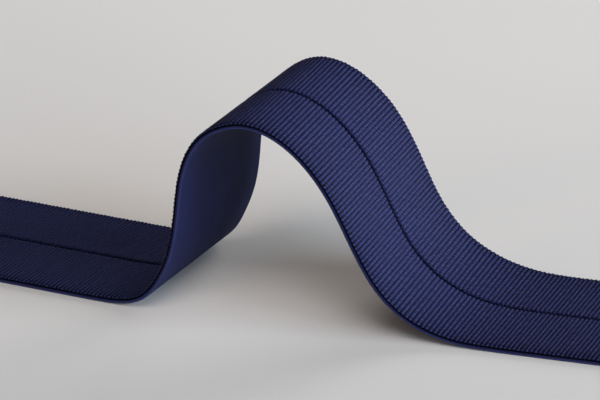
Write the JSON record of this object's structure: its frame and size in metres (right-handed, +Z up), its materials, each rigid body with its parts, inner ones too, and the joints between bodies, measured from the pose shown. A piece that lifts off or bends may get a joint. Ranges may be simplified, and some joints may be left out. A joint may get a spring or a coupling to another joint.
{
  "type": "length of fold-over elastic",
  "caption": "Length of ribbed elastic trim with a fold line down its middle, lying in a tall hump with both ends flat; it folds over a raw cloth edge to bind it.",
  "frame": {"origin": "middle of the underside of the band's box, on the surface that it lies on", "axes": "+X along the band in plan, from the long flat end to the short one; +Y across the band, towards its far edge; +Z up"},
  "size_m": [0.1246, 0.0304, 0.0312],
  "materials": {
    "navy_elastic": "satin ribbed weave"
  },
  "bodies": {
    "root": {"elastic_band": "navy_elastic"}
  },
  "joints": []
}
